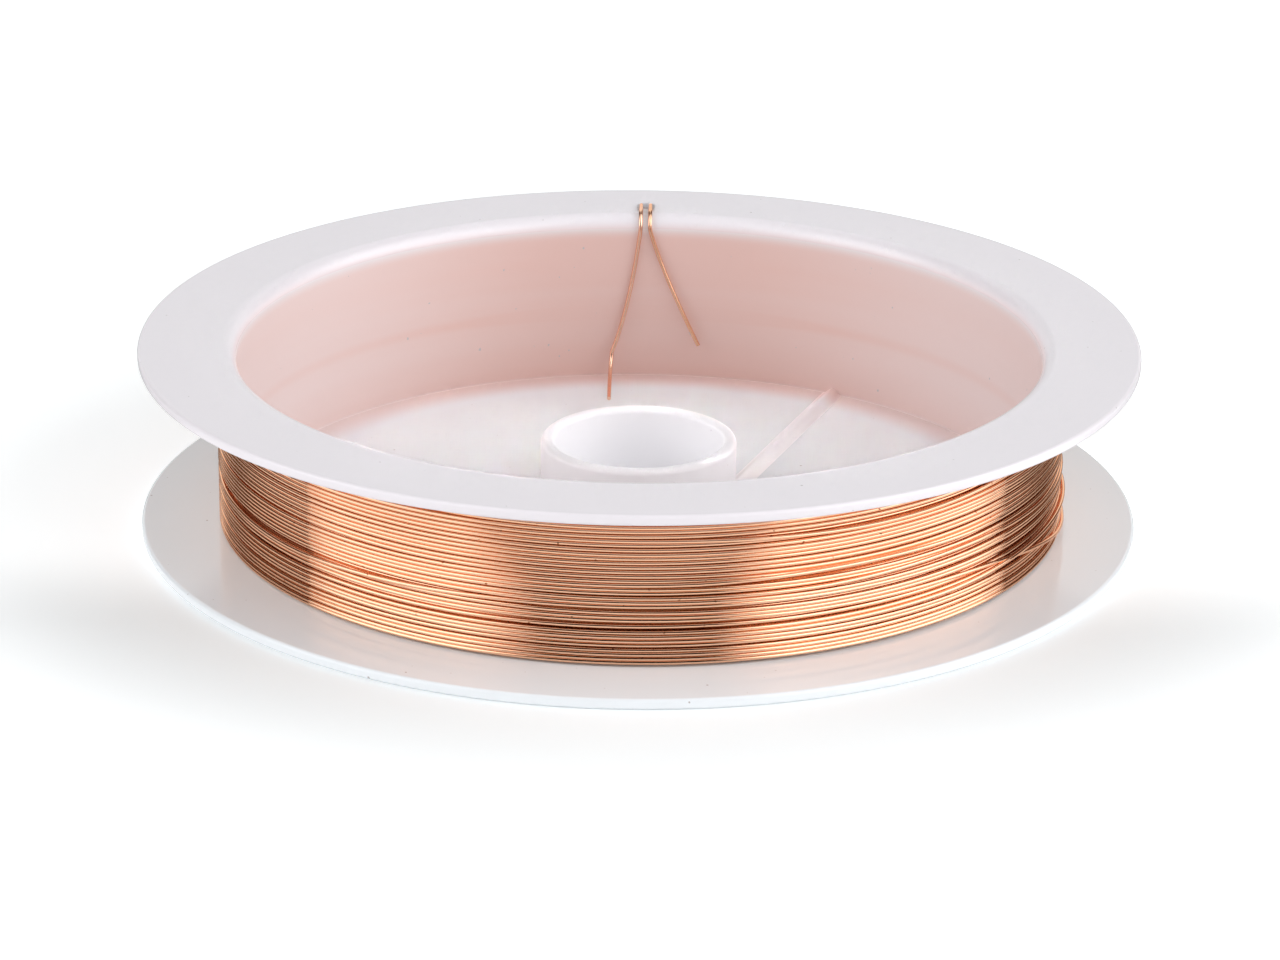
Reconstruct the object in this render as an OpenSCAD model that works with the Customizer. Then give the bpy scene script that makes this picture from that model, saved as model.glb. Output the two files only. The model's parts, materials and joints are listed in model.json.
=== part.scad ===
// Flanged plastic spool wound with two layers of bare copper wire.
// It stands on its lower flange: the origin is on the spool's axis at that flange's underside, +Z up.
// Both ends of the wire leave the winding through the lead hole on the +Y side and hang inside the drum.

/* [Flanges] */
// Diameter of both flanges
flange_d = 70; // [50:0.5:100]
// Thickness of each flange
flange_t = 0.75; // [0.6:0.05:1.2]
// Height of the spool over both flanges
spool_h = 13.4; // [10:0.1:24]
// Rounding of the edges of both rims
rim_r = 0.25; // [0.05:0.05:0.3]

/* [Drum] */
// Depth of the winding space, from the flanges' rims in to the drum's outside
winding_depth = 6; // [4.5:0.1:10]
// Thickness of the drum's wall
drum_wall_t = 0.8; // [0.5:0.05:1.4]
// Radius of the rounded lip where the upper flange turns down into the drum
lip_r = 1; // [0.8:0.05:1.3]
// Fillet at the foot of the drum and of the hub
foot_r = 0.3; // [0.1:0.05:0.5]

/* [Hub] */
// Diameter of the spindle bore
bore_d = 12; // [6:0.5:20]
// Thickness of the hub's wall
hub_wall_t = 0.9; // [0.6:0.1:2]
// Height of the hub's top over the underside of the spool
hub_h = 6; // [3:0.1:8]
// Rounding of the hub's top edges
hub_edge_r = 0.2; // [0.05:0.05:0.25]

/* [Floor rib] */
// Width of the rib
rib_w = 1.1; // [0.6:0.1:2]
// Height of the rib over the floor
rib_h = 0.6; // [0.55:0.05:1.5]
// Distance of the rib's centre line from the spool's axis
rib_offset = 5.1; // [0:0.1:5.5]
// Direction that the rib runs in, from +X towards +Y
rib_dir = 70; // [0:1:90]

/* [Wire] */
// Diameter of the wire
wire_d = 0.3; // [0.2:0.05:0.5]
// Least free space between neighbouring turns of the outer layer as drawn
turn_gap = 0.41; // [0.41:0.01:2]
// Most turns of the outer layer that are drawn
max_turns = 24; // [2:1:24]
// Clearance between two pieces of wire, or wire and plastic, that lie against each other
wire_clear = 0.02; // [0.01:0.01:0.05]

/* [Lead hole and wire ends] */
// Diameter of the lead hole in the upper flange
lead_hole_d = 1.4; // [1.2:0.1:2]
// Distance of the lead hole's centre out from the drum's outside
lead_setback = 1.8; // [1.7:0.1:3]
// Distance between the two wire ends in the lead hole
tail_spacing = 0.7; // [0.6:0.05:0.8]
// Radius of the bends of the wire ends at the lead hole, on the wire's centre line
tail_bend_r = 0.45; // [0.4:0.05:0.55]
// How far the start tail's tip stands off the drum's inside
start_tip_off = 1.4; // [0.5:0.1:4]
// How far the start tail's tip lies to the left of the lead hole
start_tip_left = 2.55; // [0.5:0.05:6]
// How far the finish tail's tip stands off the drum's inside
finish_tip_off = 0.9; // [0.5:0.1:4]
// How far the finish tail's tip lies to the right of the lead hole
finish_tip_right = 4.1; // [0.5:0.1:8]
// Height of the finish tail's tip over the floor
finish_tip_h = 2.7; // [0.5:0.1:6]

/* [Hidden] */
// Where each tail bows on its way down: share of its sideways run, share of the lip's height
start_bow = [0.3, 0.5];
finish_bow = [0.2, 0.75];
$fn = 96;

// Facets of a swept wire: sides of its section, and rings in each turn, bend and hanging run
turn_sides = 6;
turn_rings = 24;
tail_sides = 8;
bend_rings = 5;
hang_rings = 14;

flange_r = flange_d / 2;
drum_or = flange_r - winding_depth;
drum_ir = drum_or - drum_wall_t;
flange_top_z = spool_h;
flange_under_z = spool_h - flange_t;
collar_z = spool_h - max(lip_r, flange_t);
bore_r = bore_d / 2;
hub_or = bore_r + hub_wall_t;
wire_r = wire_d / 2;

// Winding: the outer layer's straight chords clear the inner layer's sleeve
inner_layer_r = drum_or + wire_d;
turn_r = (inner_layer_r + wire_r + wire_clear) / cos(180 / turn_rings);
first_turn_z = flange_t + wire_r + wire_clear;
last_turn_z = flange_under_z - wire_r - wire_clear;
layer_rise = last_turn_z - first_turn_z;
turns = min(max_turns, floor(layer_rise / (wire_d + turn_gap)));
turn_steps = turns * turn_rings;

// Lead hole, and the finish tail's run from the last turn: a tangent from the winding to the hole
lead_y = drum_or + lead_setback;
tail_x = tail_spacing / 2;
lead_reach = norm([tail_x, lead_y - tail_bend_r]);
last_turn_a = atan2(lead_y - tail_bend_r, tail_x) - acos(turn_r / lead_reach);

// Wire ends over the upper flange: along its top, round the lip and down inside the drum
lead_in_z = flange_under_z - wire_d - wire_clear;
over_z = flange_top_z + wire_r + wire_clear;
lip_y = drum_ir + lip_r;
lip_z = flange_top_z - lip_r;
lip_bend_r = lip_r + wire_r + wire_clear;
lip_leave_a = 175;
lip_leave_y = lip_y - lip_bend_r;
start_tip = [-start_tip_left, drum_ir - start_tip_off, flange_t + wire_r + wire_clear];
finish_tip = [finish_tip_right, drum_ir - finish_tip_off, flange_t + finish_tip_h];

// Ring section from radius r1 to r2 and height z1 to z2, with its two outer edges rounded
module rim_profile(r1, r2, z1, z2, edge_r) {
    translate([r1, z1]) square([r2 - r1 - edge_r, z2 - z1]);
    translate([r1, z1 + edge_r]) square([r2 - r1, z2 - z1 - 2 * edge_r]);
    for (z = [z1 + edge_r, z2 - edge_r]) translate([r2 - edge_r, z]) circle(r = edge_r);
}

// Quarter-round fillet that fills the corner at [r, z]; side is 1 outwards and -1 inwards
module foot_profile(r, z, side) {
    difference() {
        translate([side > 0 ? r : r - foot_r, z]) square(foot_r);
        translate([r + side * foot_r, z + foot_r]) circle(r = foot_r);
    }
}

function unit(v) = v / norm(v);

// Point at fraction t of the way along the curve that leaves p0 towards p1 and reaches p2
function curve_point(p0, p1, p2, t) = (1 - t) * (1 - t) * p0 + 2 * t * (1 - t) * p1 + t * t * p2;

// Points of an arc in the plane x, round the centre [y, z], from angle a1 to a2
function arc_points(x, y, z, r, a1, a2) =
    [for (i = [0 : bend_rings - 1]) let (a = a1 + (a2 - a1) * i / (bend_rings - 1)) [x, y + r * cos(a), z + r * sin(a)]];

// Direction of a route at point i: the mean of the directions of the runs that meet there
function route_dir(p, i) =
    unit((i > 0 ? unit(p[i] - p[i - 1]) : [0, 0, 0]) + (i < len(p) - 1 ? unit(p[i + 1] - p[i]) : [0, 0, 0]));

// Across directions along a route, each turned as little as possible from the one before
function square_to(v, d) = unit(v - (v * d) * d);
function across(p, first) =
    [for (i = 0, a = square_to(first, route_dir(p, 0)); i < len(p);
        i = i + 1, a = i < len(p) ? square_to(a, route_dir(p, i)) : a) a];

// Wire swept along a route of points, as one closed tube of triangles
module swept_wire(route, sides, first_across) {
    a = across(route, first_across);
    last = len(route) - 1;
    points = [
        for (i = [0 : last]) let (d = route_dir(route, i), u = a[i], v = cross(d, u))
            for (k = [0 : sides - 1]) let (t = (k + 0.5) * 360 / sides) route[i] + wire_r * (cos(t) * u + sin(t) * v)
    ];
    walls = [
        for (i = [0 : last - 1], k = [0 : sides - 1])
            let (q = i * sides + k, s = i * sides + (k + 1) % sides)
                each [[q, q + sides, s], [s, q + sides, s + sides]]
    ];
    near_cap = [for (k = [1 : sides - 2]) [0, k, k + 1]];
    far_cap = [for (k = [1 : sides - 2]) [last * sides, last * sides + k + 1, last * sides + k]];
    polyhedron(points = points, faces = concat(walls, near_cap, far_cap));
}

// Outer layer: a helix that climbs from the lower flange to the upper one, straight for one diameter at its ends
function turn_point(i) =
    let (a = last_turn_a + 360 * (i - turn_steps) / turn_rings)
        [turn_r * cos(a), turn_r * sin(a), first_turn_z + layer_rise * i / turn_steps];
function turn_dir(i) =
    let (a = last_turn_a + 360 * (i - turn_steps) / turn_rings) [-sin(a), cos(a), 0];
helix = [for (i = [0 : turn_steps]) turn_point(i)];
layer_end = turn_point(turn_steps) + wire_d * turn_dir(turn_steps);
outer_layer_route = concat([turn_point(0) - wire_d * turn_dir(0)], helix, [layer_end]);

// Least gap between the outer layer and itself, over all points at least half a turn apart
least_gap = min([
    for (i = [0 : len(helix) - 1]) for (j = [i + turn_rings / 2 : 1 : len(helix) - 1]) norm(helix[j] - helix[i])
]) - wire_d;
echo(str("turns drawn ", turns, ", least gap between turns ", least_gap, " mm"));

// Both tails: up through the lead hole, inwards along the flange's top, round the lip and down to the tip
function over_lip(x, up_y, lead_z) = concat(
    arc_points(x, up_y - tail_bend_r, lead_z + tail_bend_r, tail_bend_r, -90, 0),
    arc_points(x, up_y - tail_bend_r, over_z - tail_bend_r, tail_bend_r, 0, 90),
    arc_points(x, lip_y, lip_z, lip_bend_r, 90, lip_leave_a)
);
function hanging(from, by, tip) = [for (i = [1 : hang_rings]) curve_point(from, by, tip, i / hang_rings)];
start_tail_route = concat(
    [[-tail_x, inner_layer_r, lead_in_z], [-tail_x, inner_layer_r + wire_d, lead_in_z]],
    over_lip(-tail_x, lead_y, lead_in_z),
    hanging([-tail_x, lip_leave_y, lip_z],
        [-tail_x - start_bow[0] * start_tip_left, lip_leave_y, start_bow[1] * lip_z], start_tip)
);
finish_tail_route = concat(
    [layer_end],
    over_lip(tail_x, lead_y, last_turn_z),
    hanging([tail_x, lip_leave_y, lip_z],
        [tail_x + finish_bow[0] * finish_tip_right, lip_leave_y, finish_bow[1] * lip_z], finish_tip)
);

// Flat ring with rounded rims; a short collar carries its rounded lip down to the drum
module upper_flange() {
    color([0.93, 0.92, 0.94]) difference() {
        rotate_extrude() difference() {
            union() {
                rim_profile(drum_ir, flange_r, flange_under_z, flange_top_z, rim_r);
                translate([drum_ir, collar_z]) square([drum_wall_t, flange_top_z - collar_z]);
            }
            difference() {
                translate([drum_ir, lip_z]) square(lip_r);
                translate([lip_y, lip_z]) circle(r = lip_r);
            }
        }
        translate([0, lead_y, flange_under_z - flange_t]) cylinder(d = lead_hole_d, h = 3 * flange_t);
    }
}

// Thin cylinder that stands on the lower flange and carries the winding
module drum_wall() {
    color([0.88, 0.76, 0.74]) rotate_extrude() {
        translate([drum_ir, flange_t]) square([drum_wall_t, collar_z - flange_t]);
        foot_profile(drum_ir, flange_t, -1);
    }
}

// Bottom disc: flange outside the drum, floor inside it
module lower_flange() {
    color([0.93, 0.92, 0.94]) rotate_extrude() rim_profile(bore_r, flange_r, 0, flange_t, rim_r);
}

// Short tube round the spindle bore
module hub() {
    color([0.92, 0.91, 0.93]) rotate_extrude() {
        translate([bore_r, flange_t]) square([hub_wall_t, hub_h - flange_t - hub_edge_r]);
        translate([bore_r + hub_edge_r, flange_t]) square([hub_wall_t - 2 * hub_edge_r, hub_h - flange_t]);
        for (r = [bore_r + hub_edge_r, hub_or - hub_edge_r]) translate([r, hub_h - hub_edge_r]) circle(r = hub_edge_r);
        foot_profile(hub_or, flange_t, 1);
    }
}

// Low round-topped rib on the floor, cut to the feet of the hub and of the drum
module floor_rib() {
    color([0.95, 0.94, 0.95]) difference() {
        intersection() {
            rotate([0, 0, rib_dir]) translate([0, -rib_offset, flange_t]) rotate([90, 0, 90]) linear_extrude(2 * drum_ir) {
                translate([-rib_w / 2, 0]) square([rib_w, rib_h - rib_w / 2]);
                translate([0, rib_h - rib_w / 2]) circle(d = rib_w);
            }
            cylinder(r = drum_ir - foot_r, h = spool_h);
            translate([0, 0, flange_t]) cylinder(r = drum_ir, h = spool_h);
        }
        cylinder(r = hub_or + foot_r, h = spool_h);
    }
}

// First layer of turns, as a plain sleeve that fills the drum between the flanges
module wire_inner_layer() {
    color([0.72, 0.45, 0.3]) rotate_extrude()
        translate([drum_or, flange_t]) square([wire_d, flange_under_z - flange_t]);
}

// Second layer of turns
module wire_outer_layer() {
    color([0.82, 0.53, 0.36]) swept_wire(outer_layer_route, turn_sides, unit([helix[0][0], helix[0][1], 0]));
}

// The wire's start, from the inner layer to the floor of the drum
module wire_start_tail() {
    color([0.82, 0.53, 0.36]) swept_wire(start_tail_route, tail_sides, [1, 0, 0]);
}

// The wire's finish, from the outer layer's last turn to a free tip
module wire_finish_tail() {
    color([0.82, 0.53, 0.36]) swept_wire(finish_tail_route, tail_sides, [0, 0, 1]);
}

upper_flange();
drum_wall();
lower_flange();
hub();
floor_rib();
wire_inner_layer();
wire_outer_layer();
wire_start_tail();
wire_finish_tail();
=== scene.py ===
import json
import math

import bmesh
import bpy
from mathutils import Matrix, Vector


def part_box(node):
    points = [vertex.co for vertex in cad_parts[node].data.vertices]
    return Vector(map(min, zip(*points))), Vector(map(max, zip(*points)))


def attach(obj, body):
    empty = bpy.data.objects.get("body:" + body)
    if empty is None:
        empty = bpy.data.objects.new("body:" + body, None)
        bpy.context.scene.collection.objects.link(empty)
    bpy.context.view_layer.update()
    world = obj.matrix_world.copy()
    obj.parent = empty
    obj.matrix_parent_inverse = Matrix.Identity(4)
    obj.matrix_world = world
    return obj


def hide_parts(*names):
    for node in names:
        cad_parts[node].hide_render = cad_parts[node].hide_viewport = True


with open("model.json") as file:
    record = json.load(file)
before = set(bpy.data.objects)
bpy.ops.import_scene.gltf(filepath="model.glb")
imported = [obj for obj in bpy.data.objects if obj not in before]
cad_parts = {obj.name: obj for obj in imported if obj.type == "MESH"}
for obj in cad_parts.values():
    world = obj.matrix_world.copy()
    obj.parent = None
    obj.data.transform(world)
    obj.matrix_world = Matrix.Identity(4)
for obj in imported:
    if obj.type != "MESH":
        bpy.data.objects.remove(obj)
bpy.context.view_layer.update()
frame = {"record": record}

MM = 0.001

# ---------------------------------------------------------------- sizes, from the frame

floor_low, floor_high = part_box("lower_flange")
flange_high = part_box("upper_flange")[1]
drum_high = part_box("drum_wall")[1]
hub_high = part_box("hub")[1]
rib_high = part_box("floor_rib")[1]
inner_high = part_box("wire_inner_layer")[1]
bore = next(m for m in frame["record"]["mounts"] if m["name"] == "spindle_bore")

FLANGE_R = flange_high.x
TOP_Z = flange_high.z
FLOOR_Z = floor_high.z
FLANGE_T = floor_high.z - floor_low.z
UNDER_Z = TOP_Z - FLANGE_T
RIM_R = 0.25 * MM
LIP_R = 1.0 * MM

COLLAR_Z = drum_high.z
DRUM_R = drum_high.x
DRUM_WALL_T = 0.8 * MM
DRUM_IN_R = DRUM_R - DRUM_WALL_T
FOOT_R = 0.05 * MM

HUB_TOP_Z = hub_high.z
BORE_R = bore["dims"]["r_mm"] * MM
HUB_WALL_T = 0.9 * MM
HUB_R = BORE_R + HUB_WALL_T
HUB_EDGE_R = 0.42 * MM

# The rib is softer than the frame's, lower and wider, and its ends are sunk into hub and drum
RIB_CREST = 0.75 * (rib_high.z - FLOOR_Z)
RIB_HALF_W = 0.8 * MM
RIB_OFFSET = 5.1 * MM
RIB_SUNK = 0.2 * MM
RIB_DIR = math.radians(70)

WIRE_D = inner_high.x - DRUM_R
WIRE_R = WIRE_D / 2
CLEAR = 0.02 * MM

# Lead hole and the wire's bends over the flange
LEAD_HOLE_R = 0.7 * MM
LEAD_Y = DRUM_R + 1.8 * MM
TAIL_X = 0.35 * MM
TAIL_BEND_R = 0.45 * MM
LIP_Y = DRUM_IN_R + LIP_R
LIP_Z = TOP_Z - LIP_R
LIP_BEND_R = LIP_R + WIRE_R + CLEAR
LIP_LEAVE_Y = LIP_Y - LIP_BEND_R
LIP_LEAVE_A = 175  # degrees
OVER_Z = TOP_Z + WIRE_R + CLEAR

# Where each tail bows on its way down: share of its sideways run, share of the lip's height
START_BOW = (0.3, 0.5)
FINISH_BOW = (0.2, 0.75)
START_KNEE = Vector((-2.45 * MM, DRUM_IN_R - 0.8 * MM, FLOOR_Z + 2.1 * MM))
START_CORNER = Vector((-2.62 * MM, DRUM_IN_R - 1.1 * MM, FLOOR_Z + WIRE_R + CLEAR))
START_TIP = Vector((-2.55 * MM, DRUM_IN_R - 6.0 * MM, FLOOR_Z + WIRE_R + CLEAR))
FINISH_TIP = Vector((4.1 * MM, DRUM_IN_R - 0.9 * MM, FLOOR_Z + 2.7 * MM))

# Winding: centre lines of the two layers, and the outer layer's turns
INNER_TURN_R = DRUM_R + WIRE_R
OUTER_TURN_R = INNER_TURN_R + 0.38 * MM
LEAST_TURN_R = INNER_TURN_R + 0.27 * MM
TOP_TAPER = 0.16 * MM
RIGHT_BULGE = 0.15 * MM
STEP_UP = 0.2  # turns in which the wire steps up from the inner layer onto it
TURNS = 37
FIRST_Z = FLOOR_Z + WIRE_R + CLEAR
LAST_Z = UNDER_Z - WIRE_R - CLEAR
LEAD_A = (math.atan2(LEAD_Y - TAIL_BEND_R, TAIL_X)
          - math.acos(OUTER_TURN_R / math.hypot(TAIL_X, LEAD_Y - TAIL_BEND_R)))

# How finely the round forms are divided, and what counts as one place or as a sharp edge
LATHE_STEPS = 288
TURN_STEPS = 144
HOLE_STEPS = 48
EDGE_STEPS = 6
BEND_STEPS = 8
LIP_STEPS = 12
FINISH_STEPS = 28
START_STEPS = 32
START_END_STEPS = 24
WALL_BANDS = 8
RIDGE_STEPS = 8
CARD_STEPS = 24
WELDED = 0.0001 * MM
SAME_PLACE = 0.01 * MM
SHARP_ANGLE = math.radians(40)


# ---------------------------------------------------------------- mesh tools

def mesh_object(name, mesh):
    """A piece of the scene from a mesh."""
    piece = bpy.data.objects.new(name, mesh)
    bpy.context.scene.collection.objects.link(piece)
    return piece


def bm_object(name, bm):
    """A piece from a bmesh, smooth but for its sharp edges."""
    mesh = bpy.data.meshes.new(name)
    bm.to_mesh(mesh)
    bm.free()
    mesh.shade_smooth()
    mesh.set_sharp_from_angle(angle=SHARP_ANGLE)
    return mesh_object(name, mesh)


def settled(piece):
    """The same piece with its modifiers made part of its mesh."""
    bpy.context.view_layer.update()
    graph = bpy.context.evaluated_depsgraph_get()
    mesh = bpy.data.meshes.new_from_object(piece.evaluated_get(graph), preserve_all_data_layers=True,
                                           depsgraph=graph)
    piece.modifiers.clear()
    piece.data = mesh
    mesh.name = piece.name
    return piece


def turned(profile):
    """A closed ring turned about the spool's axis from the (radius, height) corners of its section."""
    bm = bmesh.new()
    verts = [bm.verts.new((r, 0, z)) for r, z in profile]
    edges = [bm.edges.new((verts[i - 1], verts[i])) for i in range(len(verts))]
    bmesh.ops.spin(bm, geom=verts + edges, cent=(0, 0, 0), axis=(0, 0, 1), angle=2 * math.pi,
                   steps=LATHE_STEPS, use_merge=True)
    bmesh.ops.remove_doubles(bm, verts=bm.verts, dist=WELDED)
    bmesh.ops.recalc_face_normals(bm, faces=bm.faces)
    return bm


def round_corner(bm, radius, height, size):
    """Rounds the level circular edge at one corner of a turned section."""
    def at_corner(vert):
        return math.hypot(math.hypot(vert.co.x, vert.co.y) - radius, vert.co.z - height) < SAME_PLACE
    edges = [e for e in bm.edges if at_corner(e.verts[0]) and at_corner(e.verts[1])]
    bmesh.ops.bevel(bm, geom=edges, offset=size, offset_type="OFFSET", affect="EDGES",
                    segments=EDGE_STEPS, profile=0.5, material=-1, clamp_overlap=True)


def foot_fillet(radius, side):
    """Section of the small fillet where an upright wall meets the floor, outside it (1) or inside it (-1)."""
    angles = [math.radians(a) for a in range(0, 91, 15)]
    return [(radius + side * (FOOT_R - FOOT_R * math.cos(a)), FLOOR_Z + FOOT_R - FOOT_R * math.sin(a))
            for a in angles]


def keep_flats_flat(piece):
    """Lets the broad flat faces set the shading of the corners next to them."""
    flats = piece.modifiers.new("flats", "WEIGHTED_NORMAL")
    flats.keep_sharp = True
    return settled(piece)


def drill(piece, x, y, radius):
    """Cuts a round upright hole right through a piece."""
    bm = bmesh.new()
    bmesh.ops.create_cone(bm, cap_ends=True, segments=HOLE_STEPS, radius1=radius, radius2=radius,
                          depth=4 * TOP_Z, matrix=Matrix.Translation((x, y, TOP_Z)))
    bit = bm_object("bit", bm)
    cut = piece.modifiers.new("hole", "BOOLEAN")
    cut.operation = "DIFFERENCE"
    cut.object = bit
    settled(piece)
    bpy.data.objects.remove(bit)


# ---------------------------------------------------------------- wire routes

def arc(x, y, z, r, a1, a2, count):
    """Points of an arc in the plane x, round [y, z], between two angles in degrees."""
    angles = [math.radians(a1 + (a2 - a1) * i / (count - 1)) for i in range(count)]
    return [Vector((x, y + r * math.cos(a), z + r * math.sin(a))) for a in angles]


def curve_to(p0, p1, p2, count):
    """Points of the curve that leaves p0 towards p1 and reaches p2, without p0."""
    steps = [i / count for i in range(1, count + 1)]
    return [p0 * (1 - t) ** 2 + p1 * (2 * t * (1 - t)) + p2 * t ** 2 for t in steps]


def over_lip(x, lead_z):
    """Up through the lead hole, inwards along the flange and down round its lip."""
    y = LEAD_Y - TAIL_BEND_R
    return (arc(x, y, lead_z + TAIL_BEND_R, TAIL_BEND_R, -90, 0, BEND_STEPS)
            + arc(x, y, OVER_Z - TAIL_BEND_R, TAIL_BEND_R, 0, 90, BEND_STEPS)
            + arc(x, LIP_Y, LIP_Z, LIP_BEND_R, 90, LIP_LEAVE_A, LIP_STEPS))


def down_to(x, bow, tip, end, count):
    """From the lip down the wall to an end, bowed by shares of the tip's x and the lip's height."""
    leave = Vector((x, LIP_LEAVE_Y, LIP_Z))
    by = Vector((x + bow[0] * tip.x, LIP_LEAVE_Y, bow[1] * LIP_Z))
    return curve_to(leave, by, end, count)


# Places on the outer layer are in turns up from the bottom, and a whole turn ends at the back, at the
# azimuth where the wire leads out. Within a turn, 0.29 is the left, 0.54 the front and 0.79 the right.

# Gaps in the outer layer: place, width in mm, sharpness
GAPS = [
    (7.54, 0.16, 2), (8.50, 0.13, 3), (11.58, 0.15, 3), (3.62, 0.10, 4), (32.54, 0.16, 3),
    (10.44, 0.08, 6), (14.61, 0.05, 6), (20.50, 0.04, 5), (26.58, 0.04, 8), (23.40, 0.04, 7),
    (29.35, 0.05, 9), (33.60, 0.06, 6), (18.34, 0.22, 7), (12.35, 0.18, 8), (8.34, 0.20, 8),
    (4.36, 0.20, 8), (24.33, 0.12, 8), (1.36, 0.10, 8), (16.72, 0.20, 8), (5.74, 0.14, 9),
    (11.73, 0.14, 9), (21.71, 0.10, 9), (28.70, 0.08, 9), (19.66, 0.08, 12),
]
PUSH_TURNS = 5  # turns over which the push of a gap on its neighbours dies down
# Turns that ride up over their neighbours: place, lift in mm, climb in mm, sharpness
RIDERS = [
    (9.79, 0.30, -2.90, 20), (6.73, 0.20, 0.36, 26), (12.40, 0.18, -0.30, 30), (22.95, 0.16, 0.30, 26),
    (17.62, 0.16, 0.26, 34), (27.64, 0.16, -0.34, 30), (14.67, 0.18, 0.30, 32), (30.42, 0.14, 0.28, 36),
]
LIFT_FIRST = 3  # how many times sooner a rider lifts than it climbs
# Hills and valleys across the pack: turns from crest to crest, height in mm, shift in crests
HILLS = [(6.1, 0.050, 0.20), (3.7, 0.035, 0.55), (9.7, 0.030, 0.80), (2.3, 0.018, 0.10)]
# Waver of each turn: waves in a turn, height in mm, shift in waves (up and down, in and out)
WAVERS = [(1.37, 0.010, 0.0, 0.0), (2.71, 0.008, 0.31, 0.47), (5.3, 0.004, 0.62, 0.94)]
IN_AND_OUT = 1.13  # waves in and out for each wave up and down
CALM_TURNS = 1.5  # turns at each end of the layer in which all this dies down


def bump(turns_away, sharpness):
    """1 at the place itself, falling to 0 half a turn away."""
    return math.cos(math.pi * turns_away) ** (2 * sharpness)


def winding_point(s):
    """Centre of the outer layer's wire, s turns up from its start."""
    z = FIRST_Z + (LAST_Z - FIRST_Z) * s / TURNS
    a = LEAD_A + 2 * math.pi * (s - TURNS)
    r = OUTER_TURN_R - TOP_TAPER * s / TURNS + RIGHT_BULGE * math.cos(a)
    free = min(1.0, s / CALM_TURNS, (TURNS - s) / CALM_TURNS)
    for at, width, sharpness in GAPS:
        m = round(s - at)
        side = 1 if m >= 1 else -1
        push = math.exp(-abs(m - 0.5) / PUSH_TURNS)
        z += free * side * 0.5 * width * MM * push * bump(s - at - m, sharpness)
    for at, lift, climb, sharpness in RIDERS:
        if abs(s - at) < 0.5:
            w = bump(s - at, sharpness)
            r += lift * MM * min(1.0, LIFT_FIRST * w)
            z += climb * MM * w
    for crest, height, shift in HILLS:
        r += free * height * MM * math.sin(2 * math.pi * (s / crest + shift))
    for waves, height, up_shift, out_shift in WAVERS:
        z += free * height * MM * math.sin(2 * math.pi * (waves * s + up_shift))
        r += free * height * MM * math.sin(2 * math.pi * (IN_AND_OUT * waves * s + out_shift))
    z = min(max(z, FIRST_Z), LAST_Z)
    r = max(r, LEAST_TURN_R)
    r -= (r - INNER_TURN_R) * max(0.0, 1 - s / STEP_UP) ** 2
    return Vector((r * math.cos(a), r * math.sin(a), z))


def winding_route():
    """The outer layer, its straight run to the lead hole and the finish tail, as one unbroken wire."""
    route = [winding_point(i / TURN_STEPS) for i in range(TURNS * TURN_STEPS + 1)]
    route += over_lip(TAIL_X, LAST_Z)
    return route + down_to(TAIL_X, FINISH_BOW, FINISH_TIP, FINISH_TIP, FINISH_STEPS)


def start_route():
    """The wire's start: from the inner layer out through the lead hole, down the wall and in to its tip."""
    lead_z = UNDER_Z - WIRE_D - CLEAR
    route = [Vector((-TAIL_X, DRUM_R + WIRE_D, lead_z)), Vector((-TAIL_X, DRUM_R + 2 * WIRE_D, lead_z))]
    route += over_lip(-TAIL_X, lead_z)
    route += down_to(-TAIL_X, START_BOW, START_TIP, START_KNEE, START_STEPS)
    return route + curve_to(START_KNEE, START_CORNER, START_TIP, START_END_STEPS)


# ---------------------------------------------------------------- pieces

def wire_piece(name, route, roundness):
    """A round wire along a route, as a mesh."""
    curve = bpy.data.curves.new(name, "CURVE")
    curve.dimensions = "3D"
    curve.bevel_depth = WIRE_R
    curve.bevel_resolution = roundness
    curve.use_fill_caps = True
    spline = curve.splines.new("POLY")
    spline.points.add(len(route) - 1)
    for point, at in zip(spline.points, route):
        point.co = (*at, 1)
    line = bpy.data.objects.new(name, curve)
    bpy.context.scene.collection.objects.link(line)
    bpy.context.view_layer.update()
    mesh = bpy.data.meshes.new_from_object(line.evaluated_get(bpy.context.evaluated_depsgraph_get()))
    bpy.data.objects.remove(line)
    bpy.data.curves.remove(curve)
    mesh.shade_smooth()
    return mesh_object(name, mesh)


def top_flange_piece():
    """Flat ring with rounded rims, whose lip rolls down onto the drum, with the lead hole in it."""
    bm = turned([(DRUM_IN_R, COLLAR_Z), (DRUM_IN_R, TOP_Z), (FLANGE_R, TOP_Z), (FLANGE_R, UNDER_Z),
                 (DRUM_R, UNDER_Z), (DRUM_R, COLLAR_Z)])
    just_short = 0.999  # a full lip would end in the collar's edge
    round_corner(bm, DRUM_IN_R, TOP_Z, LIP_R * just_short)
    round_corner(bm, FLANGE_R, TOP_Z, RIM_R)
    round_corner(bm, FLANGE_R, UNDER_Z, RIM_R)
    piece = bm_object("top_flange", bm)
    drill(piece, 0, LEAD_Y, LEAD_HOLE_R)
    return keep_flats_flat(piece)


def drum_piece():
    """Thin wall of the drum, with a small fillet at its foot."""
    foot_z = FLOOR_Z + FOOT_R
    bands = [(DRUM_IN_R, COLLAR_Z + (foot_z - COLLAR_Z) * i / WALL_BANDS) for i in range(1, WALL_BANDS)]
    bm = turned([(DRUM_R, FLOOR_Z), (DRUM_R, COLLAR_Z), (DRUM_IN_R, COLLAR_Z)] + bands
                + foot_fillet(DRUM_IN_R, -1))
    return keep_flats_flat(bm_object("drum_shell", bm))


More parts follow.
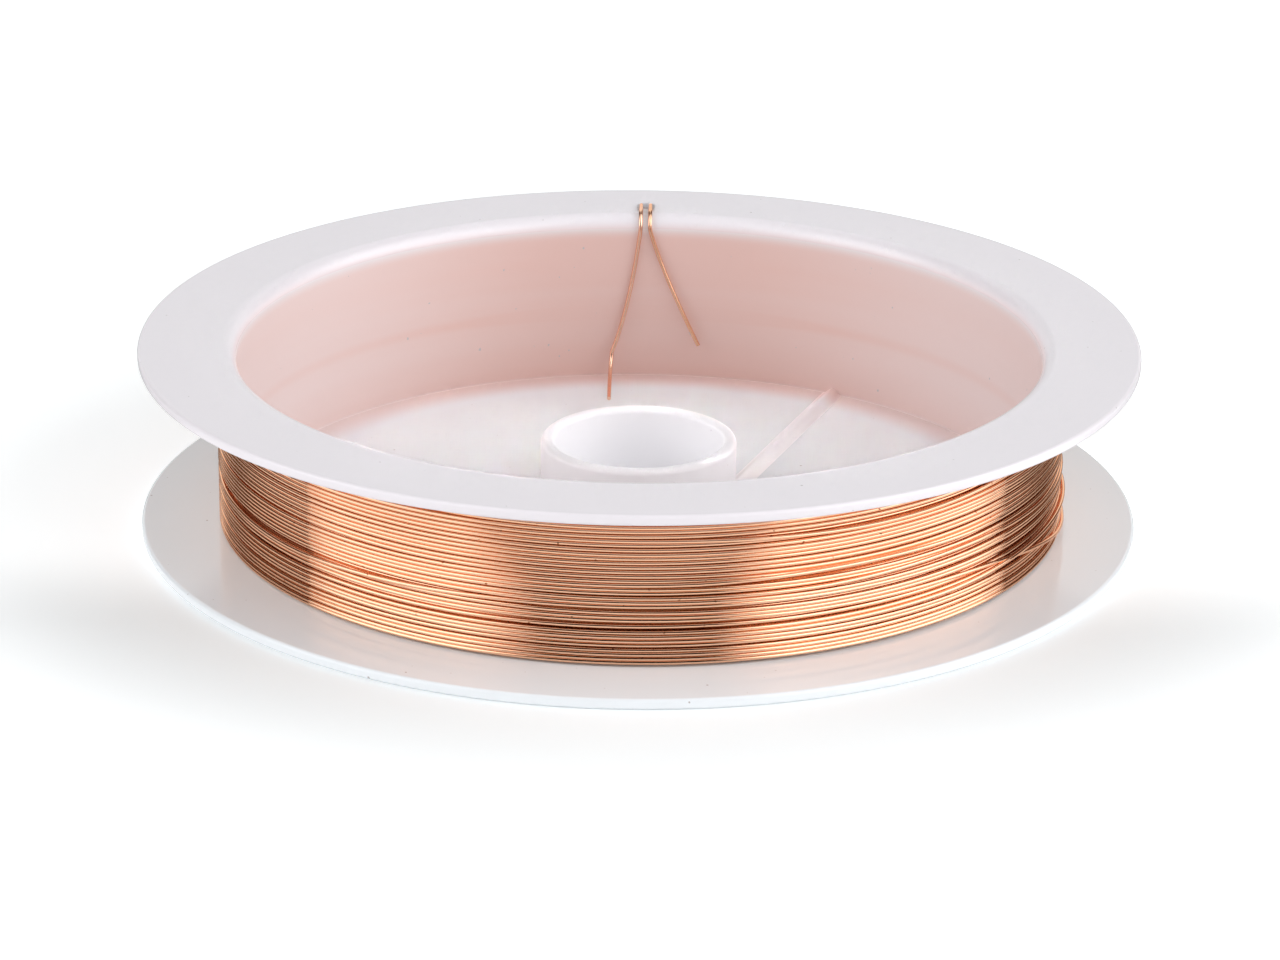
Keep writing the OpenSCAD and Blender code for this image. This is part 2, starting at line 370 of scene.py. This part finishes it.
def bottom_flange_piece():
    """Flat disc round the spindle bore, with a rounded rim."""
    bm = turned([(BORE_R, 0), (BORE_R, FLOOR_Z), (FLANGE_R, FLOOR_Z), (FLANGE_R, 0)])
    round_corner(bm, FLANGE_R, FLOOR_Z, RIM_R)
    round_corner(bm, FLANGE_R, 0, RIM_R)
    return keep_flats_flat(bm_object("bottom_flange", bm))


def hub_piece():
    """Short tube round the bore, with rounded top edges and a fillet at its foot."""
    bm = turned([(BORE_R, FLOOR_Z), (BORE_R, HUB_TOP_Z), (HUB_R, HUB_TOP_Z)] + foot_fillet(HUB_R, 1))
    round_corner(bm, BORE_R, HUB_TOP_Z, HUB_EDGE_R)
    round_corner(bm, HUB_R, HUB_TOP_Z, HUB_EDGE_R)
    return keep_flats_flat(bm_object("bore_hub", bm))


def rib_piece():
    """Low soft-edged ridge on the floor, from the hub to the drum."""
    across = [RIB_HALF_W * i / RIDGE_STEPS for i in range(-RIDGE_STEPS, RIDGE_STEPS + 1)]
    ridge = [(w, RIB_CREST * math.cos(math.pi * w / (2 * RIB_HALF_W)) ** 2) for w in across]
    near = math.sqrt((HUB_R - RIB_SUNK) ** 2 - RIB_OFFSET ** 2)
    far = math.sqrt((DRUM_IN_R + RIB_SUNK) ** 2 - RIB_OFFSET ** 2)
    bm = bmesh.new()
    end = bm.faces.new([bm.verts.new((near, w - RIB_OFFSET, FLOOR_Z + h)) for w, h in ridge])
    grown = bmesh.ops.extrude_face_region(bm, geom=[end])["geom"]
    moved = [v for v in grown if isinstance(v, bmesh.types.BMVert)]
    bmesh.ops.translate(bm, verts=moved, vec=(far - near, 0, 0))
    bmesh.ops.rotate(bm, verts=bm.verts, cent=(0, 0, 0), matrix=Matrix.Rotation(RIB_DIR, 3, "Z"))
    bmesh.ops.recalc_face_normals(bm, faces=bm.faces)
    return bm_object("rib", bm)


def inner_layer_piece():
    """The inner layer's turns, side by side against the drum."""
    count = int((UNDER_Z - FLOOR_Z) / WIRE_D)
    pitch = (UNDER_Z - FLOOR_Z) / count
    half_turn = [math.radians(a) for a in range(-90, 90, 30)]
    bumps = [(INNER_TURN_R + WIRE_R * math.cos(a), FLOOR_Z + pitch * (k + 0.5 + 0.5 * math.sin(a)))
             for k in range(count) for a in half_turn]
    inside = DRUM_R + CLEAR
    return bm_object("inner_winding", turned([(inside, UNDER_Z), (inside, FLOOR_Z)] + bumps))


# ---------------------------------------------------------------- node tools

def socket(node, key):
    """An input or output of a node by its identifier."""
    return next(s for s in (*node.inputs, *node.outputs) if s.identifier == key)


def feed(links, target, value):
    """Links an output to an input, or sets the input to a number or a colour."""
    if isinstance(value, bpy.types.NodeSocket):
        links.new(value, target)
    elif isinstance(value, tuple) and target.type == "RGBA":
        target.default_value = (*value, 1)
    else:
        target.default_value = value


def math_node(tree, operation, *values):
    """The result of a math node on numbers or outputs."""
    node = tree.nodes.new("ShaderNodeMath")
    node.operation = operation
    for target, value in zip(node.inputs, values):
        feed(tree.links, target, value)
    return node.outputs[0]


def smooth_step(tree, value, low, high):
    """0 below low, 1 above high and smooth between. With low over high, it falls instead."""
    node = tree.nodes.new("ShaderNodeMapRange")
    node.interpolation_type = "SMOOTHSTEP"
    feed(tree.links, node.inputs["Value"], value)
    feed(tree.links, node.inputs["From Min"], low)
    feed(tree.links, node.inputs["From Max"], high)
    return node.outputs["Result"]


def mix_color(tree, factor, a, b):
    """Colour a at factor 0 and b at factor 1."""
    node = tree.nodes.new("ShaderNodeMix")
    node.data_type = "RGBA"
    feed(tree.links, socket(node, "Factor_Float"), factor)
    feed(tree.links, socket(node, "A_Color"), a)
    feed(tree.links, socket(node, "B_Color"), b)
    return socket(node, "Result_Color")


def place(tree, stretch=(1, 1, 1)):
    """Place on the piece, in metres times a stretch."""
    coords = tree.nodes.new("ShaderNodeTexCoord")
    mapping = tree.nodes.new("ShaderNodeMapping")
    mapping.inputs["Scale"].default_value = stretch
    tree.links.new(coords.outputs["Object"], mapping.inputs["Vector"])
    return mapping.outputs["Vector"]


def split(tree, vector):
    """The x, y and z of a vector."""
    node = tree.nodes.new("ShaderNodeSeparateXYZ")
    tree.links.new(vector, node.inputs[0])
    return node.outputs


def from_axis(tree, at):
    """Distance of a split place from the spool's axis."""
    return math_node(tree, "SQRT", math_node(tree, "ADD", math_node(tree, "POWER", at[0], 2.0),
                                             math_node(tree, "POWER", at[1], 2.0)))


def noise(tree, vector, scale, detail):
    """Noise from 0 to 1 at a vector: features in a unit, and how many finer octaves lie on them."""
    node = tree.nodes.new("ShaderNodeTexNoise")
    node.inputs["Scale"].default_value = scale
    node.inputs["Detail"].default_value = detail
    tree.links.new(vector, node.inputs["Vector"])
    return node.outputs["Fac"]


def new_material(name):
    """A material with its node tree and its Principled shader."""
    material = bpy.data.materials.new(name)
    material.use_nodes = True
    return material, material.node_tree, material.node_tree.nodes["Principled BSDF"]


def new_group(name, inputs, outputs):
    """A shader node group with number inputs and their usual values, and number outputs."""
    group = bpy.data.node_groups.new(name, "ShaderNodeTree")
    for label, value in inputs.items():
        made = group.interface.new_socket(label, in_out="INPUT", socket_type="NodeSocketFloat")
        made.default_value = value
    for label in outputs:
        group.interface.new_socket(label, in_out="OUTPUT", socket_type="NodeSocketFloat")
    return group, group.nodes.new("NodeGroupInput").outputs, group.nodes.new("NodeGroupOutput").inputs


def use_group(tree, group, **values):
    """The outputs of a group node with its inputs set by name."""
    node = tree.nodes.new("ShaderNodeGroup")
    node.node_tree = group
    for key, value in values.items():
        feed(tree.links, node.inputs[key], value)
    return node.outputs


# ---------------------------------------------------------------- shared effects

# Noise, in features a metre: on the plastic, on the copper, and streaks on the wall
CLOUD_SCALE = 90
FINE_SCALE = 1400
DUST_SCALE = 2700
TARNISH_SCALE = 160
COPPER_DUST_SCALE = 3000
DRAWN_SCALE = 2600
STREAK_SCALE = (8, 8, 350)
# How much denser the copper's noise is along the axis, across the turns
ACROSS_TARNISH = (1, 1, 6)
ACROSS_DRAWN = (1, 1, 3)
# Noise from which a speck shows, and at which it is whole
DUST_LEVELS = (0.86, 0.90)
COPPER_DUST_LEVELS = (0.83, 0.88)

# Where the copper shows pink through the wall, and where painted light carries the pink further: radius or
# height of no pink and of all of it
# Painted pink light: the pink reaches about 3.4 mm onto the floor inside the drum, as if bounced from the
# wall
PAINTED_FLOOR_LIGHT_TO_WALL = (DRUM_IN_R - 3.4 * MM, DRUM_IN_R - 0.3 * MM)
WALL_TO = (DRUM_R + 0.25 * MM, DRUM_R + 0.05 * MM)
TOP_FADE = (UNDER_Z + 0.42 * MM, UNDER_Z - 1.10 * MM)
FLOOR_FADE = (FLOOR_Z - 0.5 * MM, FLOOR_Z + 0.2 * MM)
# Painted light: the pink is paler towards the drum's left and right sides, as if light fell across them
PAINTED_LIGHT_ASIDE_X = (0.15 * DRUM_R, DRUM_R)
PAINTED_LIGHT_PALER_ASIDE = 0.30
# Painted shade: a faint dark line 5 mm up the wall, the shade of a gap between the turns behind it
DARK_LINE_Z = FLOOR_Z + 5.0 * MM
DARK_LINE_HALF_W = 0.7 * MM
DARK_LINE_SHARE = 0.6


def moulded_surface_group():
    """Faint unevenness of a moulded face: broad cloudiness, roughness, a fine height and stray specks."""
    group, given, result = new_group("moulded_surface", {"Smooth": 0.15, "Dull": 0.3},
                                     ["Cloud", "Roughness", "Height", "Specks"])
    cloud = noise(group, place(group), CLOUD_SCALE, detail=3)
    fine = noise(group, place(group), FINE_SCALE, detail=3)
    dust = noise(group, place(group), DUST_SCALE, detail=0)
    spread = math_node(group, "SUBTRACT", given["Dull"], given["Smooth"])
    roughness = math_node(group, "MULTIPLY_ADD", spread, fine, given["Smooth"])
    group.links.new(cloud, result["Cloud"])
    group.links.new(roughness, result["Roughness"])
    group.links.new(fine, result["Height"])
    group.links.new(smooth_step(group, dust, *DUST_LEVELS), result["Specks"])
    return group


def copper_pink_and_painted_light_group():
    """How much copper pink the plastic takes: 1 on the wall, where the copper shows through, fading at its
    ends and on the floor; painted pink light next to the wall, painted light that pales the drum's sides, and
    a dark line of painted shade.
    """
    group, given, result = new_group("copper_pink_and_painted_light", {"Streaks": 0.12}, ["Shown"])
    at = split(group, place(group))
    radius = from_axis(group, at)
    on_wall_and_painted_floor = math_node(group, "MULTIPLY", smooth_step(group, radius, *PAINTED_FLOOR_LIGHT_TO_WALL),
                        smooth_step(group, radius, *WALL_TO))
    # painted light: the pink paler towards the drum's sides
    aside = smooth_step(group, math_node(group, "ABSOLUTE", at[0]), *PAINTED_LIGHT_ASIDE_X)
    paler = math_node(group, "MULTIPLY_ADD", aside, -PAINTED_LIGHT_PALER_ASIDE, 1.0)
    ends = math_node(group, "MULTIPLY", smooth_step(group, at[2], *TOP_FADE),
                     smooth_step(group, at[2], *FLOOR_FADE))
    shown = math_node(group, "MULTIPLY", math_node(group, "MULTIPLY", on_wall_and_painted_floor, paler), ends)
    broad = noise(group, place(group, STREAK_SCALE), scale=1, detail=2)
    # painted shade: the dark line of a gap between the turns
    off_line = math_node(group, "ABSOLUTE", math_node(group, "SUBTRACT", at[2], DARK_LINE_Z))
    dark_line = math_node(group, "MULTIPLY", smooth_step(group, off_line, DARK_LINE_HALF_W, 0.0),
                          DARK_LINE_SHARE)
    bands = math_node(group, "SUBTRACT", math_node(group, "ADD", broad, dark_line), 0.5)
    level = math_node(group, "ADD", math_node(group, "MULTIPLY", bands, given["Streaks"]), 1.0)
    group.links.new(math_node(group, "MULTIPLY", shown, level), result["Shown"])
    return group


# ---------------------------------------------------------------- materials

# The spool is one plastic; these three whites are lit and shaded copies of it, painted light and shade: the
# first darker for the top flange, the pale one paler and cooler for the bottom flange and the drum, the soft
# one lighter for the hub and the rib
WHITE = (0.92, 0.885, 0.93)
PALE_WHITE = (0.905, 0.955, 0.995)
SOFT_WHITE = (0.945, 0.93, 0.955)
CLOUDED = 0.97
COPPER_PINK = (0.80, 0.55, 0.50)
SPECK = (0.55, 0.52, 0.52)
PLASTIC_IOR = 1.5
GRAIN_DEPTH = 0.01 * MM
LIT_EDGE = 0.4 * MM
COPPER_EDGE_TINT = (1.0, 0.78, 0.66)
COPPER_SPECK = (0.42, 0.18, 0.09)

MOULDED = moulded_surface_group()
COPPER_PINK_AND_PAINTED_LIGHT = copper_pink_and_painted_light_group()


def shaded(colour, share):
    """A share of a colour."""
    return tuple(share * part for part in colour)


def milky_plastic(name, white, smooth, dull, streaks=0.0, grain=0.0, shine=0.5):
    """Milky white moulded plastic, through which the copper behind the drum's wall shows pink, with painted
    pink light on the floor next to the wall, painted light on the drum's sides and a line of painted shade.
    """
    material, tree, shader = new_material(name)
    surface = use_group(tree, MOULDED, Smooth=smooth, Dull=dull)
    copper = use_group(tree, COPPER_PINK_AND_PAINTED_LIGHT, Streaks=streaks)
    clouded = mix_color(tree, surface["Cloud"], white, shaded(white, CLOUDED))
    tinted = mix_color(tree, copper["Shown"], clouded, COPPER_PINK)
    feed(tree.links, shader.inputs["Base Color"], mix_color(tree, surface["Specks"], tinted, SPECK))
    feed(tree.links, shader.inputs["Roughness"], surface["Roughness"])
    shader.inputs["IOR"].default_value = PLASTIC_IOR
    shader.inputs["Specular IOR Level"].default_value = shine
    relief = tree.nodes.new("ShaderNodeBump")
    relief.inputs["Strength"].default_value = grain
    relief.inputs["Distance"].default_value = GRAIN_DEPTH
    feed(tree.links, relief.inputs["Height"], surface["Height"])
    feed(tree.links, shader.inputs["Normal"], relief.outputs["Normal"])
    return material


def bare_copper(name, bright, tarnished, smooth, dull):
    """Bare drawn copper wire, with faint tarnish that changes along it and fine dark specks."""
    material, tree, shader = new_material(name)
    tarnish = noise(tree, place(tree, ACROSS_TARNISH), TARNISH_SCALE, detail=3)
    dust = noise(tree, place(tree), COPPER_DUST_SCALE, detail=0)
    specks = smooth_step(tree, dust, *COPPER_DUST_LEVELS)
    metal = mix_color(tree, tarnish, bright, tarnished)
    feed(tree.links, shader.inputs["Base Color"], mix_color(tree, specks, metal, COPPER_SPECK))
    shader.inputs["Metallic"].default_value = 1.0
    shader.inputs["Specular Tint"].default_value = (*COPPER_EDGE_TINT, 1)
    drawn = noise(tree, place(tree, ACROSS_DRAWN), DRAWN_SCALE, detail=1)
    roughness = math_node(tree, "MULTIPLY_ADD", drawn, dull - smooth, smooth)
    feed(tree.links, shader.inputs["Roughness"], roughness)
    return material


def add_painted_glow(material, inside, outside):
    """Painted glow: emission that stands in for light coming through thin milky plastic, one share of white
    in the bore, another outside it.
    """
    tree = material.node_tree
    shader = tree.nodes["Principled BSDF"]
    out = smooth_step(tree, from_axis(tree, split(tree, place(tree))), BORE_R, BORE_R + LIT_EDGE)
    glow = mix_color(tree, out, shaded(WHITE, inside), shaded(WHITE, outside))
    feed(tree.links, shader.inputs["Emission Color"], glow)
    shader.inputs["Emission Strength"].default_value = 1.0


# ---------------------------------------------------------------- making the spool

def finish_piece(piece, material, slot, *nodes):
    """Gives a piece its material, hangs it on the root body and hides the frame's parts that it takes the
    place of. The slot is not used.
    """
    piece.data.materials.clear()
    piece.data.materials.append(material)
    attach(piece, "root")
    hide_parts(*nodes)


GLOSSY_WHITE = milky_plastic("glossy_white_plastic", PALE_WHITE, smooth=0.08, dull=0.16, grain=0.02)
SATIN_WHITE = milky_plastic("satin_white_plastic", WHITE, smooth=0.20, dull=0.28, grain=0.05)
HUB_WHITE = milky_plastic("hub_white_plastic", SOFT_WHITE, smooth=0.50, dull=0.50, shine=0.2)
# Painted glow on the hub, brighter in its bore
add_painted_glow(HUB_WHITE, inside=0.075, outside=0.055)
RIB_WHITE = milky_plastic("rib_white_plastic", SOFT_WHITE, smooth=0.40, dull=0.40, shine=0.3)
# Painted glow on the rib
add_painted_glow(RIB_WHITE, inside=0.06, outside=0.06)
DRUM_PLASTIC = milky_plastic("thin_drum_plastic", PALE_WHITE, smooth=0.32, dull=0.32, streaks=0.22)
WOUND_COPPER = bare_copper("wound_copper", bright=(0.91, 0.575, 0.395), tarnished=(0.87, 0.505, 0.32),
                           smooth=0.04, dull=0.10)
# Painted light: the wire's loose start is the same wire as the winding, given a paler copy of its copper, as
# if more brightly lit
PAINTED_LIGHT_LOOSE_COPPER = bare_copper("loose_copper_painted_light", bright=(0.93, 0.62, 0.46), tarnished=(0.91, 0.59, 0.43),
                           smooth=0.12, dull=0.16)

finish_piece(top_flange_piece(), SATIN_WHITE, "spool_plastic", "upper_flange")
finish_piece(drum_piece(), DRUM_PLASTIC, "drum_plastic", "drum_wall")
finish_piece(bottom_flange_piece(), GLOSSY_WHITE, "spool_plastic", "lower_flange")
finish_piece(hub_piece(), HUB_WHITE, "spool_plastic", "hub")
finish_piece(rib_piece(), RIB_WHITE, "spool_plastic", "floor_rib")
finish_piece(inner_layer_piece(), WOUND_COPPER, "copper_wire", "wire_inner_layer")
finish_piece(wire_piece("outer_winding", winding_route(), roundness=3), WOUND_COPPER, "copper_wire",
             "wire_outer_layer", "wire_finish_tail")
finish_piece(wire_piece("start_end", start_route(), roundness=4), PAINTED_LIGHT_LOOSE_COPPER, "copper_wire",
             "wire_start_tail")


# ---------------------------------------------------------------- stage, lamps and camera

TABLE_HALF = 1.5
TABLE_WHITE = (0.9, 0.9, 0.9, 1)
TABLE_ROUGHNESS = 0.7
TABLE_FAINT = (0.945, 0.985, 1.0)
TABLE_GLOW = 0.43
TABLE_SHADE = 0.33
TABLE_MIRRORED = 1.06
TABLE_END = 0.33
WORLD_LIGHT = 0.18

# Where the table is mirrored as ended, and where its glow is shaded: no shade first, then all of it
BEHIND_Y = (-5 * MM, 3 * MM)
SHADE_Y = (-6 * MM, -22 * MM)
SHADE_R = (60 * MM, 37 * MM)
SHADE_IN_BORE_R = (BORE_R + 1.0 * MM, BORE_R - 0.5 * MM)

BEAM_HEIGHT = 0.8
BEAM_WIDTH = 48 * MM
BEAM_SPREAD = math.radians(1.8)

CARD_DISTANCE = 0.75
CARD_BROWN = (1.0, 0.60, 0.45)

# Camera, with its angles in radians
CAMERA_DISTANCE = 350 * MM
CAMERA_DOWN = 0.3585
CAMERA_LEAN = 0.0083
CAMERA_TURN = math.atan(0.4 / 30.8)  # the lead hole, 30.8 mm back, is seen 0.4 mm aside
CAMERA_TARGET = Vector((0.12 * MM, 0, 2.73 * MM))
CAMERA_LENS = 139.16
CAMERA_SENSOR = 36


def looked_at(tree):
    """1 for the rays by which the camera sees, mirrors in gloss or looks through glass."""
    rays = tree.nodes.new("ShaderNodeLightPath").outputs
    seen = math_node(tree, "MAXIMUM", rays["Is Camera Ray"], rays["Is Glossy Ray"])
    return math_node(tree, "MAXIMUM", seen, rays["Is Transmission Ray"])


def mix_shaders(tree, factor, a, b, output):
    """Shader a at factor 0 and b at factor 1."""
    mix = tree.nodes.new("ShaderNodeMixShader")
    feed(tree.links, mix.inputs["Fac"], factor)
    tree.links.new(a, mix.inputs[1])
    tree.links.new(b, mix.inputs[2])
    tree.links.new(mix.outputs[0], output)


def make_table():
    """White table that stays white in view, keeps a faint shadow, and ends behind the spool in its gloss."""
    bm = bmesh.new()
    bmesh.ops.create_grid(bm, x_segments=1, y_segments=1, size=TABLE_HALF)
    table = bm_object("floor", bm)
    material, tree, shader = new_material("white_table")
    shader.inputs["Base Color"].default_value = TABLE_WHITE
    shader.inputs["Roughness"].default_value = TABLE_ROUGHNESS
    at = split(tree, place(tree))
    around = from_axis(tree, at)
    behind = smooth_step(tree, at[1], *BEHIND_Y)
    mirrored = math_node(tree, "MULTIPLY_ADD", behind, TABLE_END - TABLE_MIRRORED, TABLE_MIRRORED)
    in_front = math_node(tree, "MULTIPLY", smooth_step(tree, around, *SHADE_R),
                         smooth_step(tree, at[1], *SHADE_Y))
    near = math_node(tree, "MAXIMUM", in_front, smooth_step(tree, around, *SHADE_IN_BORE_R))
    seen = math_node(tree, "MULTIPLY_ADD", near, -TABLE_SHADE, TABLE_GLOW)
    change = math_node(tree, "SUBTRACT", mirrored, seen)
    glossy = tree.nodes.new("ShaderNodeLightPath").outputs["Is Glossy Ray"]
    glow = tree.nodes.new("ShaderNodeEmission")
    feed(tree.links, glow.inputs["Strength"], math_node(tree, "MULTIPLY_ADD", change, glossy, seen))
    faint = tree.nodes.new("ShaderNodeBsdfDiffuse")
    feed(tree.links, faint.inputs["Color"], mix_color(tree, glossy, TABLE_FAINT, (0, 0, 0)))
    both = tree.nodes.new("ShaderNodeAddShader")
    tree.links.new(glow.outputs[0], both.inputs[0])
    tree.links.new(faint.outputs[0], both.inputs[1])
    mix_shaders(tree, looked_at(tree), shader.outputs[0], both.outputs[0],
                tree.nodes["Material Output"].inputs["Surface"])
    table.data.materials.append(material)


def make_world():
    """A white world that lights the spool only faintly."""
    world = bpy.data.worlds.new("studio")
    bpy.context.scene.world = world
    world.use_nodes = True
    tree = world.node_tree
    lit = tree.nodes["Background"]
    lit.inputs["Color"].default_value = (1, 1, 1, 1)
    lit.inputs["Strength"].default_value = WORLD_LIGHT
    seen = tree.nodes.new("ShaderNodeBackground")
    seen.inputs["Color"].default_value = (1, 1, 1, 1)
    seen.inputs["Strength"].default_value = 1.0
    mix_shaders(tree, looked_at(tree), lit.outputs[0], seen.outputs[0],
                tree.nodes["World Output"].inputs["Surface"])


def hang_lamp(lamp, location, mirrored):
    """Puts a lamp in the scene, out of the camera's sight."""
    holder = bpy.data.objects.new(lamp.name, lamp)
    holder.location = location
    holder.visible_glossy = mirrored
    holder.visible_camera = False
    bpy.context.scene.collection.objects.link(holder)
    return holder


def softbox(name, azimuth, elevation, distance, width, height, radiance, mirrored=True):
    """A flat lamp that faces the spool. Azimuth 0 is on the camera's side and 90 on its right."""
    a, e = math.radians(azimuth), math.radians(elevation)
    away = Vector((math.sin(a) * math.cos(e), -math.cos(a) * math.cos(e), math.sin(e)))
    lamp = bpy.data.lights.new(name, "AREA")
    lamp.shape = "RECTANGLE"
    lamp.size, lamp.size_y = width, height
    lamp.energy = radiance * math.pi * width * height
    holder = hang_lamp(lamp, away * distance + Vector((0, 0, 0.5 * TOP_Z)), mirrored)
    holder.rotation_euler = away.to_track_quat("Z", "Y").to_euler()


def beam_into_cup(radiance):
    """A narrow beam from above that reaches the inside of the drum only."""
    lamp = bpy.data.lights.new("cup_beam", "AREA")
    lamp.shape = "DISK"
    lamp.size = BEAM_WIDTH
    lamp.spread = BEAM_SPREAD
    lamp.energy = radiance * math.pi * math.pi * DRUM_IN_R ** 2
    hang_lamp(lamp, (0, 0, BEAM_HEIGHT), mirrored=False)


def dark_card(name, azimuth, spread, low, high, dark, bright, fade):
    """A curved card round the spool that only gloss mirrors: dark, and bright at both ends. In degrees."""
    a, half = math.radians(azimuth), math.radians(spread / 2)
    bm = bmesh.new()
    ends = [bm.verts.new((CARD_DISTANCE * math.sin(a - half), -CARD_DISTANCE * math.cos(a - half),
                          CARD_DISTANCE * math.tan(math.radians(e)))) for e in (low, high)]
    edge = bm.edges.new(ends)
    bmesh.ops.spin(bm, geom=ends + [edge], cent=(0, 0, 0), axis=(0, 0, 1), angle=2 * half,
                   steps=CARD_STEPS)
    card = bm_object(name, bm)
    material, tree, _ = new_material(name)
    at = split(tree, place(tree))
    around = math_node(tree, "ARCTAN2", at[0], math_node(tree, "MULTIPLY", at[1], -1.0))
    off = math_node(tree, "ABSOLUTE", math_node(tree, "SUBTRACT", around, a))
    at_end = smooth_step(tree, off, half - math.radians(fade), half)
    glow = tree.nodes.new("ShaderNodeEmission")
    feed(tree.links, glow.inputs["Color"], mix_color(tree, at_end, CARD_BROWN, (1, 1, 1)))
    feed(tree.links, glow.inputs["Strength"], math_node(tree, "MULTIPLY_ADD", at_end, bright - dark, dark))
    tree.links.new(glow.outputs[0], tree.nodes["Material Output"].inputs["Surface"])
    card.data.materials.append(material)
    card.visible_camera = False
    card.visible_diffuse = False
    card.visible_transmission = False
    card.visible_shadow = False


def make_camera():
    """A long lens from the front, a little above, level but for a slight lean."""
    ahead = Vector((0, math.cos(CAMERA_DOWN), -math.sin(CAMERA_DOWN)))
    right = Vector((1, 0, 0))
    up = right.cross(ahead)
    pose = Matrix((right * math.cos(CAMERA_LEAN) + up * math.sin(CAMERA_LEAN),
                   up * math.cos(CAMERA_LEAN) - right * math.sin(CAMERA_LEAN),
                   -ahead)).transposed().to_4x4()
    pose.translation = CAMERA_TARGET - ahead * CAMERA_DISTANCE
    data = bpy.data.cameras.new("camera")
    data.sensor_width = CAMERA_SENSOR
    data.lens = CAMERA_LENS
    data.clip_start = 0.01
    camera = bpy.data.objects.new("camera", data)
    camera.matrix_world = Matrix.Rotation(CAMERA_TURN, 4, "Z") @ pose
    bpy.context.scene.collection.objects.link(camera)
    bpy.context.scene.camera = camera


make_table()
make_world()

# The bright zones of the copper
softbox("left_softbox", azimuth=-69, elevation=28, distance=0.6, width=0.585, height=0.62, radiance=1.10)
softbox("right_softbox", azimuth=73.5, elevation=28, distance=0.6, width=0.92, height=0.62, radiance=1.63)

# Even light on the plastic, which nothing mirrors
softbox("front_fill", azimuth=0, elevation=15, distance=0.9, width=0.9, height=0.35, radiance=1.52,
        mirrored=False)
softbox("top_fill", azimuth=0, elevation=68, distance=0.9, width=0.9, height=0.9, radiance=0.26,
        mirrored=False)
softbox("left_fill", azimuth=-82, elevation=22, distance=0.9, width=0.5, height=0.3, radiance=4.0,
        mirrored=False)
softbox("right_fill", azimuth=82, elevation=22, distance=0.9, width=0.5, height=0.3, radiance=2.6,
        mirrored=False)
beam_into_cup(radiance=0.25)

# The dark zones of the copper
dark_card("front_card", azimuth=-2, spread=88, low=3, high=80, dark=0.0, bright=1.25, fade=21)
dark_card("left_card", azimuth=-116, spread=60, low=0, high=80, dark=0.10, bright=1.0, fade=8)
dark_card("right_card", azimuth=125, spread=54, low=0, high=80, dark=0.11, bright=1.0, fade=8)

make_camera()
bpy.context.scene.view_settings.view_transform = "Standard"
